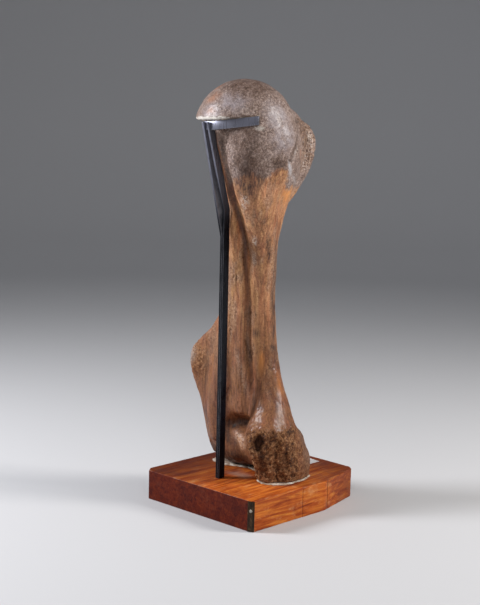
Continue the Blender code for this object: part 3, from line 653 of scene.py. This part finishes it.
# Relief in metres, outwards positive
valley = stripe(skin, COLUMN_VALLEY, 0.0095, 0.15)
upper_valley = stripe(skin, COLUMN_VALLEY[:7], 0.0150, 0.35)
groove = stripe(skin, HEAD_GROOVE, 0.011, 0.1)
bulge = stripe(skin, BULGE, 0.015, 0.1)
hollow_spots = skin + 0.005 * lumps(skin, 0.010, 33.0, 3)[:, None]
hollow = face * patch(hollow_spots, (-0.078, -0.100, 0.174), (0.034, 0.030, 0.020))
rim = stripe(skin, ARCH_RIM, 0.012)
furrow = stripe(skin, FACE_FURROW, 0.013)
border = stripe(skin, FACE_BORDER, 0.013)
ribs = np.max([stripe(skin, rib, 0.012) for rib in FACE_RIBS], axis=0)
pit_spots = skin + 0.007 * lumps(skin, 0.009, 27.0, 3)[:, None]
deep_pit = stripe(pit_spots, DEEP_PIT, 0.0105, 0.0)
height = 0.0008 * lumps(skin, 0.030, 1.3, 3)
fibre = lumps(skin, (0.0065, 0.0065, 0.090), 5.2, 4)
coarse_fibre = lumps(skin, (0.017, 0.017, 0.160), 6.4, 3)
height += shaft * (0.00055 * fibre + 0.00100 * coarse_fibre)
split = cracks(skin, (0.020, 0.020, 0.210), 9.9) * soft_step(-0.05, 0.25, lumps(skin, 0.060, 2.2, 2))
height -= shaft * 0.0013 * split
sponge_holes = pits(skin, (0.0060, 0.0060, 0.0095), 31.7, 0.45)
height -= spongy * 0.0011 * sponge_holes
small_pits = pits(skin, 0.0068, 4.4) * soft_step(-0.3, 0.3, lumps(skin, 0.030, 7.7, 2))
grain = lumps(skin, 0.0060, 13.7, 3)
height += gray * (0.00030 * grain - 0.0006 * small_pits)
broken = ridges(skin, (0.024, 0.024, 0.040), 2.9, 5)
crumbly = lumps(skin, (0.0075, 0.0075, 0.0105), 17.5, 4)
holes = pits(skin, (0.0120, 0.0120, 0.0170), 12.3, 0.42) * soft_step(-0.1, 0.3, lumps(skin, 0.025, 41.0, 2))
height += face * (0.0024 * broken + 0.0026 * crumbly - 0.0030 * holes)
height += face_side * (0.0006 * crumbly - 0.0007 * pits(skin, 0.0080, 52.1))
big_pores = pits(skin, 0.0075, 15.1, 0.5)
height += tubercle * (0.0015 * lumps(skin, 0.010, 3.3) - 0.0022 * big_pores)
height += 0.0028 * bulge - 0.0028 * groove
height += crest * (0.0011 * lumps(skin, 0.008, 4.8) - 0.0009 * pits(skin, 0.0065, 6.6, 0.45))
height += 0.0013 * rim * (1 + 0.9 * crumbly) + 0.0022 * border * (1 + 0.8 * crumbly) + 0.0028 * ribs
height -= 0.0050 * furrow * (1 - 0.7 * rim) + 0.0075 * deep_pit + 0.0040 * hollow + 0.0012 * valley
above_face = patch(skin, (-0.032, -0.088, 0.240), (0.080, 0.070, 0.055))
height *= 1 - 0.65 * above_face

outward = points_of(skin_mesh, "vertex_normals", "vector")
skin = skin + outward * (height * free)[:, None]
bone_low, bone_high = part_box("humerus")
skin = np.clip(skin, np.array(bone_low), np.array(bone_high))
place_points(skin_mesh, skin)

# Masks that the bone's material reads
STAINS = [
    ((-0.120, -0.070, 0.746), (0.044, 0.050, 0.062)),
    ((-0.106, -0.084, 0.756), (0.034, 0.034, 0.036)),
    ((-0.018, -0.120, 0.186), (0.016, 0.014, 0.008)),
    ((-0.044, -0.031, 0.401), (0.012, 0.014, 0.018)),
    ((-0.003, -0.047, 0.455), (0.018, 0.018, 0.028)),
    ((-0.010, -0.055, 0.365), (0.020, 0.020, 0.032)),
]
REDDENED = [
    ((-0.156, 0.010, 0.928), (0.024, 0.034, 0.026)),
    ((-0.176, -0.004, 0.897), (0.018, 0.022, 0.018)),
    ((-0.120, 0.030, 0.950), (0.030, 0.030, 0.016)),
    ((0.010, -0.105, 0.808), (0.016, 0.020, 0.020)),
]
# Browner patches on the grey; the first two, just under the lip of the head, are painted shade
BROWN_AND_SHADE_PATCHES = [
    ((-0.138, -0.066, 0.840), (0.046, 0.046, 0.036)),
    ((-0.130, -0.072, 0.795), (0.050, 0.050, 0.052)),
    ((-0.065, -0.110, 0.786), (0.040, 0.024, 0.026)),
    ((0.040, -0.086, 0.855), (0.034, 0.034, 0.050)),
    ((-0.095, -0.040, 0.955), (0.085, 0.085, 0.045)),
]
# Painted highlights: a violet-grey sheen where each side of the head catches the light
VIOLET_HIGHLIGHTS = [
    ((-0.075, -0.112, 0.885), (0.050, 0.050, 0.060)),
    ((-0.060, -0.116, 0.845), (0.050, 0.050, 0.050)),
    ((-0.174, -0.004, 0.897), (0.030, 0.046, 0.032)),
    ((-0.150, -0.045, 0.915), (0.050, 0.050, 0.034)),
]
PALE = [
    ((-0.070, -0.044, 0.612), (0.008, 0.010, 0.030)),
    ((-0.059, -0.034, 0.572), (0.007, 0.009, 0.024)),
    ((-0.112, -0.052, 0.700), (0.012, 0.016, 0.034)),
    ((-0.066, 0.158, 0.335), (0.034, 0.026, 0.040)),
    ((0.095, -0.050, 0.845), (0.016, 0.016, 0.018)),
    ((-0.124, -0.097, 0.863), (0.013, 0.013, 0.005)),
]
ORANGE = [
    ((-0.006, -0.088, 0.720), (0.030, 0.034, 0.050)),
    ((-0.040, -0.048, 0.335), (0.010, 0.012, 0.050)),
    ((-0.010, -0.075, 0.280), (0.012, 0.020, 0.050)),
]


def patches(points, places):
    """The strongest of several patches at each point."""
    return np.max([patch(points, centre, radii) for centre, radii in places], axis=0)


# Painted shade: dark in the fossa above and beside the bulge, and under the condyle
fossa = np.maximum(stripe(skin, FOSSA_HOLLOW, 0.017, 0.45), 0.85 * stripe(skin, BESIDE_BULGE, 0.012, 0.3))
fossa = fossa * (1 - bulge)
under_condyle = soft_step(0.124, 0.104, z) * soft_step(-0.030, 0.000, y) * soft_step(0.02, -0.01, x)
keep_mask(skin_mesh, "gray", gray)
keep_mask(skin_mesh, "rough", rough)
keep_mask(skin_mesh, "spongy", spongy)
keep_mask(skin_mesh, "stain_and_shade", np.maximum.reduce([
    patches(skin, STAINS), 0.8 * stripe(skin, EDGE_STAIN, 0.018), 0.8 * stripe(skin, UPPER_STAIN, 0.009),
    fossa, under_condyle]))
# Pale patches and stripes; the pale band on the bulge below the fossa is painted light
keep_mask(skin_mesh, "pale_and_lit", np.maximum.reduce([
    patches(skin, PALE), 0.6 * stripe(skin, LEFT_COLUMN_STRIPE, 0.010),
    0.55 * stripe(skin, BULGE, 0.022, 0.1)]))
# A painted highlight streak and its branch, and a bleached spot on the corner of the crest
keep_mask(skin_mesh, "highlight_and_bleach", np.maximum.reduce([
    stripe(skin, HIGHLIGHT_STREAK, 0.0058) * soft_step(0.748, 0.784, z), 0.30 * stripe(skin, HIGHLIGHT_STREAK_BRANCH, 0.005),
    0.85 * patch(skin, (-0.060, 0.170, 0.330), (0.036, 0.024, 0.042))]))
for name, places in {"reddened": REDDENED, "brown_and_shade_patches": BROWN_AND_SHADE_PATCHES, "violet_highlight": VIOLET_HIGHLIGHTS, "orange": ORANGE}.items():
    keep_mask(skin_mesh, name, patches(skin, places))

# Putty that was pressed out over the edge of the lip, and a smear below the tab
lip = (soft_step(0.8848, 0.8826, z + 0.30 * ragged) * soft_step(0.8700, 0.8740, z)
       * soft_step(-0.060, -0.045, y) * soft_step(0.100, 0.090, y) * soft_step(-0.12, -0.14, x))
below_tab = 0.8 * patch(skin, (-0.120, -0.100, 0.8610), (0.015, 0.015, 0.006))
keep_mask(skin_mesh, "smeared", np.maximum(lip, below_tab))

# The brown deepens down the shaft, below the crest and beside the neck: part staining, part painted shade
# where the light falls off down the bone and under the crest; less on the bulge, as painted light
upper_right = patch(skin, (-0.045, -0.090, 0.690), (0.060, 0.060, 0.070))
below_crest = 0.40 * soft_step(0.06, 0.10, y) * soft_step(0.330, 0.270, z)
staining_and_shade = soft_step(0.600, 0.190, z) + below_crest + 0.25 * upper_right
keep_mask(skin_mesh, "deep_stain_and_shade", staining_and_shade * (1 - 0.75 * bulge))

# Painted shade: hollows, lines and pits are darker
valley_share = 0.45 + 0.65 * (1 - 0.3 * gray) * soft_step(0.42, 0.64, z)
broken_share = 0.7 * holes - 0.4 * np.clip(broken, -1, 1) - 0.4 * np.clip(crumbly, -1, 1)
cavity_shade = valley_share * valley + 0.9 * upper_valley + 0.6 * groove + 0.7 * furrow
cavity_shade += 0.5 * hollow + 0.62 * deep_pit + face * broken_share + 0.45 * shaft * split
cavity_shade += 0.5 * spongy * sponge_holes + 0.55 * gray * small_pits + 0.9 * tubercle * big_pores
cavity_shade += 0.7 * crest * pits(skin, 0.0090, 6.6, 0.5)
keep_mask(skin_mesh, "cavity_shade", cavity_shade)

# The skin is thinned where it is smooth, and keeps its masks
BONE_SHARE_KEPT = 0.55
thin = bone.modifiers.new("thin", "DECIMATE")
thin.ratio = BONE_SHARE_KEPT
apply_modifiers(bone)

bone_finish, tree, shader = new_finish("fossil_bone")
place = stretch(tree, (1, 1, 1))
along = stretch(tree, (1, 1, 0.085))
fine_fibre = cloud(tree, stretch(tree, (1, 1, 0.13)), 210, 6, 0.74)
wide_fibre = cloud(tree, along, 48, 5, 0.62, 0.4)
blotch = cloud(tree, stretch(tree, (1, 1, 0.4)), 20, 6, 0.68)
speckle = cloud(tree, place, 215, 6, 0.80)
mottle = cloud(tree, place, 52, 6, 0.68)

fibre_colour = tones(tree, fine_fibre, [
    (0.28, (0.100, 0.034, 0.013)), (0.41, (0.330, 0.140, 0.060)),
    (0.52, (0.580, 0.285, 0.130)), (0.66, (0.860, 0.510, 0.270))])
band_colour = tones(tree, wide_fibre, [
    (0.30, (0.150, 0.058, 0.024)), (0.43, (0.400, 0.190, 0.086)), (0.58, (0.610, 0.325, 0.156)),
    (0.74, (0.720, 0.420, 0.240))])
shaft_colour = mix(tree, 0.45, fibre_colour, band_colour)
blotch_colour = tones(tree, blotch, [
    (0.38, (0.46, 0.33, 0.26)), (0.47, (0.88, 0.80, 0.74)), (0.60, (1.0, 1.0, 1.0))])
shaft_colour = mix(tree, 0.8, shaft_colour, blotch_colour, "MULTIPLY")
flecks = tones(tree, speckle, [
    (0.38, (0.50, 0.38, 0.32)), (0.50, (0.95, 0.92, 0.90)), (0.60, (1.0, 1.0, 1.0))])
shaft_colour = mix(tree, 0.85, shaft_colour, flecks, "MULTIPLY")
tint = cloud(tree, stretch(tree, (1, 1, 0.14)), 62, 5, 0.66)
tint_colour = tones(tree, tint, [
    (0.38, (1.00, 0.82, 0.80)), (0.50, (1.0, 0.99, 1.00)), (0.62, (1.00, 1.05, 0.88))])
shaft_colour = mix(tree, 0.7, shaft_colour, tint_colour, "MULTIPLY")
orange_share = product(tree, mask_of(tree, "orange"), between(tree, wide_fibre, 0.35, 0.6, 0.3, 1.0))
shaft_colour = mix(tree, orange_share, shaft_colour, (0.720, 0.290, 0.070))
sponge_colour = tones(tree, speckle, [
    (0.34, (0.130, 0.058, 0.026)), (0.50, (0.330, 0.180, 0.100)), (0.64, (0.560, 0.390, 0.270))])
shaft_colour = mix(tree, product(tree, mask_of(tree, "spongy"), 0.6), shaft_colour, sponge_colour)

speckle_colour = tones(tree, speckle, [
    (0.38, (0.045, 0.025, 0.017)), (0.47, (0.150, 0.095, 0.070)),
    (0.53, (0.310, 0.212, 0.170)), (0.60, (0.560, 0.450, 0.390))])
mottle_colour = tones(tree, mottle, [
    (0.34, (0.150, 0.082, 0.056)), (0.50, (0.280, 0.188, 0.155)), (0.64, (0.450, 0.345, 0.318))])
gray_colour = mix(tree, 0.36, speckle_colour, mottle_colour)
# Painted highlight on the head
violet_highlight_share = product(tree, mask_of(tree, "violet_highlight"), between(tree, mottle, 0.34, 0.56, 0.15, 0.60))
gray_colour = mix(tree, violet_highlight_share, gray_colour, (0.360, 0.315, 0.335))
red_share = product(tree, mask_of(tree, "reddened"), between(tree, mottle, 0.38, 0.6, 0.2, 0.85))
gray_colour = mix(tree, red_share, gray_colour, (0.360, 0.165, 0.090))
# Browner patches, and painted shade under the lip of the head
brown_and_shade_share = product(tree, mask_of(tree, "brown_and_shade_patches"), between(tree, mottle, 0.3, 0.6, 1.0, 0.55))
browner = mix(tree, 1.0, gray_colour, (0.40, 0.30, 0.23), "MULTIPLY")
gray_colour = mix(tree, brown_and_shade_share, gray_colour, browner)

rough_tones = cloud(tree, place, 140, 7, 0.78, 0.4)
rough_colour = tones(tree, rough_tones, [
    (0.38, (0.050, 0.017, 0.006)), (0.46, (0.230, 0.095, 0.032)),
    (0.53, (0.560, 0.290, 0.120)), (0.60, (0.950, 0.660, 0.410))])

gray_mask = mask_of(tree, "gray")
colour = mix(tree, gray_mask, shaft_colour, gray_colour)
colour = mix(tree, product(tree, mask_of(tree, "rough"), 0.85), colour, rough_colour)
# Real stains, and painted shade in the fossa and under the condyle
stain_and_shade_share = product(tree, mask_of(tree, "stain_and_shade"), between(tree, fine_fibre, 0.40, 0.56, 1.0, 0.50))
colour = mix(tree, stain_and_shade_share, colour, (0.055, 0.022, 0.014))
# Pale patches, and painted light on the bulge
pale_and_lit_share = product(tree, mask_of(tree, "pale_and_lit"), between(tree, speckle, 0.44, 0.60, 0.0, 0.85))
colour = mix(tree, pale_and_lit_share, colour, (0.600, 0.500, 0.430))
# Painted highlight streak, and bleached spot on the crest corner
highlight_and_bleach_share = product(tree, mask_of(tree, "highlight_and_bleach"), between(tree, speckle, 0.30, 0.52, 0.35, 1.0))
colour = mix(tree, highlight_and_bleach_share, colour, (0.620, 0.600, 0.620))
# Painted shade in hollows, lines and pits
colour = mix(tree, product(tree, mask_of(tree, "cavity_shade"), 0.94), colour, (0.22, 0.135, 0.075), "MULTIPLY")
# Darker with staining and painted shade
stained_and_shaded = mix(tree, 1.0, colour, (0.46, 0.36, 0.28), "MULTIPLY")
colour = mix(tree, mask_of(tree, "deep_stain_and_shade"), colour, stained_and_shaded)
smeared_share = product(tree, mask_of(tree, "smeared"), between(tree, mottle, 0.30, 0.50, 0.35, 1.0))
colour = mix(tree, smeared_share, colour, (0.720, 0.670, 0.600))

bone_roughness = between(tree, mottle, 0.3, 0.7, 0.70, 0.54)
bone_roughness = arithmetic(tree, "ADD", bone_roughness, product(tree, mask_of(tree, "rough"), 0.15))
fill_inputs(tree, shader, {
    "Base Color": colour,
    "Roughness": bone_roughness,
    "Specular IOR Level": 0.30,
    "Coat Weight": between(tree, mask_of(tree, "rough"), 0.0, 0.8, 0.42, 0.06),
    "Coat Roughness": 0.30})

pit_cells = add_node(tree, "ShaderNodeTexVoronoi", {"Vector": place, "Scale": 290, "Randomness": 1.0})
pit_relief = between(tree, pit_cells.outputs["Distance"], 0.10, 0.45)
gray_relief = product(tree, gray_mask, arithmetic(tree, "ADD", pit_relief, speckle))
fibre_share = arithmetic(tree, "SUBTRACT", 1.0, gray_mask)
fibre_relief = product(tree, fibre_share, arithmetic(tree, "ADD", fine_fibre, speckle))
rough_relief = product(tree, mask_of(tree, "rough"), rough_tones, 3.0)
fine_relief = arithmetic(tree, "ADD", arithmetic(tree, "ADD", gray_relief, fibre_relief), rough_relief)
relief(tree, shader, fine_relief, 0.8, 0.0016)
dress(bone, bone_finish, "humerus")


# The putty. A dull off-white filler, browned with dirt in places: a bead pressed between the
# strap and the lip of the head, and a thin bed with a ragged edge spread under the bone's foot.
putty_finish, tree, shader = new_finish("white_putty")
place = stretch(tree, (1, 1, 1))
putty_mottle = cloud(tree, place, 150, 5, 0.68)
putty_patch = cloud(tree, place, 34, 4, 0.6)
putty_colour = tones(tree, putty_mottle, [
    (0.34, (0.28, 0.20, 0.14)), (0.50, (0.52, 0.44, 0.36)), (0.66, (0.78, 0.74, 0.68))])
dirty = between(tree, putty_patch, 0.42, 0.58, 0.0, 0.9)
dirt_colour = mix(tree, putty_mottle, (0.20, 0.10, 0.05), (0.42, 0.30, 0.22))
putty_colour = mix(tree, dirty, putty_colour, dirt_colour)
fill_inputs(tree, shader, {"Base Color": putty_colour, "Roughness": 0.80})
relief(tree, shader, putty_mottle, 0.6, 0.0008)

BEAD_CELL = 0.0006
BEAD_EASING = 3
BEAD_LUMPS = 0.0011
BEAD_SHRINK = 0.0002
bead = merged_copy("putty_bead", "lip_bead")
bead_low, bead_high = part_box("putty_bead")
reskin(bead, BEAD_CELL)
spots = points_of(bead.data)
spots = relaxed(bead.data, spots, np.ones(len(spots)), BEAD_EASING)
place_points(bead.data, spots)
away = points_of(bead.data, "vertex_normals", "vector")
spots = spots + away * (BEAD_LUMPS * lumps(spots, 0.008, 5.5, 3) - BEAD_SHRINK)[:, None]
spots[:, 2] = np.clip(spots[:, 2], bead_low.z, bead_high.z)
place_points(bead.data, spots)
dress(bead, putty_finish, "putty_bead")

BED_OUTLINE = [
    (-0.074, -0.068), (-0.076, -0.094), (-0.068, -0.114), (-0.054, -0.128), (-0.034, -0.137),
    (-0.006, -0.138), (0.022, -0.136), (0.042, -0.131), (0.062, -0.120), (0.073, -0.102),
    (0.076, -0.080), (0.068, -0.058), (0.054, -0.040), (0.046, 0.000), (0.052, 0.050),
    (0.062, 0.090), (0.052, 0.124), (0.020, 0.142), (-0.014, 0.142), (-0.034, 0.124),
    (-0.042, 0.094), (-0.037, 0.066), (-0.022, 0.040), (-0.012, 0.012), (-0.022, -0.024),
    (-0.052, -0.048)]
BED_LOW, BED_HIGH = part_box("putty_bed")
BED_STEP = 0.0018
BED_EASING = 30
BED_MARGIN = 0.0040
BED_RAGGEDNESS = 0.0032
# How far in and how high each ring of the bed's edge lies, the height as a share
BED_PROFILE = ((0.0006, 0.0), (0.0, 0.10), (0.0010, 0.30), (0.0022, 0.50), (0.0036, 0.72), (0.0052, 0.90),
               (0.0070, 1.0))
bed_path = closed_path(BED_OUTLINE, BED_STEP)
for _ in range(BED_EASING):
    bed_path = (np.roll(bed_path, 1, axis=0) + bed_path + np.roll(bed_path, -1, axis=0)) / 3
bed_inward = inwards(bed_path)
flat_path = np.column_stack([bed_path, np.zeros(len(bed_path))])
creep = BED_MARGIN * (1 + soft_step(-0.04, 0.04, bed_path[:, 1]))
creep = creep + BED_RAGGEDNESS * lumps(flat_path, 0.016, 6.1, 4)
bed_thickness = BED_HIGH.z - BED_LOW.z
bed_rings = []
for inset, rise in BED_PROFILE:
    flat = bed_path + bed_inward * (np.clip(creep, 0.0002, 0.01) + inset)[:, None]
    unevenness = 0.3 * (rise < 0.9) * lumps(np.column_stack([flat, flat[:, 0]]), 0.006, 9.3, 3)
    level = BED_LOW.z + bed_thickness * rise * (1 - unevenness)
    bed_rings.append(np.column_stack([flat, np.clip(level, BED_LOW.z, BED_HIGH.z)]))
bed = skin_over("foot_bed", bed_rings)
dress(bed, putty_finish, "putty_bed")


# The label. A small card of plain white paper, a little curled, lying loose on the plinth.
LABEL_LOW, LABEL_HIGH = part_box("paper_label")
LABEL_CELLS = 12
CURL = 0.0016
PAPER = 0.00035
label_shape = bmesh.new()
bmesh.ops.create_grid(label_shape, x_segments=LABEL_CELLS, y_segments=LABEL_CELLS, size=0.5)
label_size = LABEL_HIGH - LABEL_LOW
for vertex in label_shape.verts:
    across, deep_stain_and_shade = vertex.co.x, vertex.co.y
    lift = CURL * (2 * abs(across)) ** 3 * (0.6 + 0.8 * deep_stain_and_shade) ** 2
    vertex.co = Vector(((LABEL_LOW.x + LABEL_HIGH.x) / 2 + across * label_size.x,
                        (LABEL_LOW.y + LABEL_HIGH.y) / 2 + deep_stain_and_shade * label_size.y, LABEL_LOW.z + lift))
label_card = piece_from(label_shape, "label_card")
thicken = label_card.modifiers.new("thicken", "SOLIDIFY")
thicken.thickness = PAPER
thicken.offset = 1
apply_modifiers(label_card)
paper_finish, tree, shader = new_finish("paper")
paper_shade = cloud(tree, stretch(tree, (1, 1, 1)), 90, 5, 0.62)
paper_colour = tones(tree, paper_shade, [(0.35, (0.56, 0.55, 0.56)), (0.65, (0.80, 0.80, 0.82))])
fill_inputs(tree, shader, {"Base Color": paper_colour, "Roughness": 0.65})
dress(label_card, paper_finish, "paper_label", 60)


# Setting: a pale floor that curves up far off, soft lights from three sides, and the camera at
# the photograph's place.
FLOOR_RINGS = [(3.0, 0.0), (4.5, 0.0), (5.4, 0.12), (6.1, 0.5), (6.6, 1.2), (6.9, 2.4), (7.0, 4.5)]
FLOOR_SIDES = 48
FLOOR_GAP = 0.0002
floor_turns = [-math.tau * i / FLOOR_SIDES for i in range(FLOOR_SIDES)]
floor = skin_over("floor", [
    [(radius * math.cos(turn), radius * math.sin(turn), rise) for turn in floor_turns]
    for radius, rise in FLOOR_RINGS], closed=False)
floor.data.shade_smooth()
floor.location.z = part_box("plinth")[0].z - FLOOR_GAP
floor_finish, tree, shader = new_finish("pale_floor")
fill_inputs(tree, shader, {"Base Color": (0.58, 0.58, 0.59, 1), "Roughness": 0.8})
floor.data.materials.append(floor_finish)

world = bpy.data.worlds.new("studio")
bpy.context.scene.world = world
world.use_nodes = True
sky = world.node_tree.nodes["Background"]
fill_inputs(world.node_tree, sky, {"Color": (0.80, 0.84, 0.92, 1), "Strength": 0.16})
bpy.context.scene.view_settings.view_transform = "Standard"

BONE_MIDDLE = Vector((-0.03, 0.0, 0.52))
# Each softbox's place, width and height, watts and colour
SOFTBOXES = {
    "left": ((-1.75, 1.55, 1.75), (0.6, 1.2), 84, (0.95, 0.96, 1.0)),
    "right": ((1.35, -1.85, 1.75), (0.6, 1.3), 62, (1.0, 0.97, 0.94)),
    "front": ((-1.9, -1.9, 2.1), (1.6, 1.6), 22, (1.0, 0.98, 0.95)),
}
for name, (where, size, power, light_colour) in SOFTBOXES.items():
    light = bpy.data.lights.new(name, "AREA")
    light.shape = "RECTANGLE"
    light.size, light.size_y = size
    light.energy = power
    light.color = light_colour
    lamp = put_in_scene(name, light)
    lamp.location = where
    lamp.rotation_euler = (BONE_MIDDLE - Vector(where)).to_track_quat("-Z", "Y").to_euler()

CAMERA_PLACE = Vector((-1.8817, -1.7832, 0.8296))
CAMERA_RIGHT = Vector((0.7029, -0.7110, 0.0223))
CAMERA_UP = Vector((0.0837, 0.1137, 0.9900))
CAMERA_FORWARD = Vector((0.7064, 0.6940, -0.1394))
FOCAL_PIXELS = 1134.9
FRAME_HEIGHT_PIXELS = 605
camera_data = bpy.data.cameras.new("camera")
camera_data.sensor_width = 36
camera_data.lens = FOCAL_PIXELS * camera_data.sensor_width / FRAME_HEIGHT_PIXELS
camera = put_in_scene("camera", camera_data)
camera_turn = Matrix((CAMERA_RIGHT, CAMERA_UP, -CAMERA_FORWARD)).transposed().to_4x4()
camera.matrix_world = Matrix.Translation(CAMERA_PLACE) @ camera_turn
bpy.context.scene.camera = camera
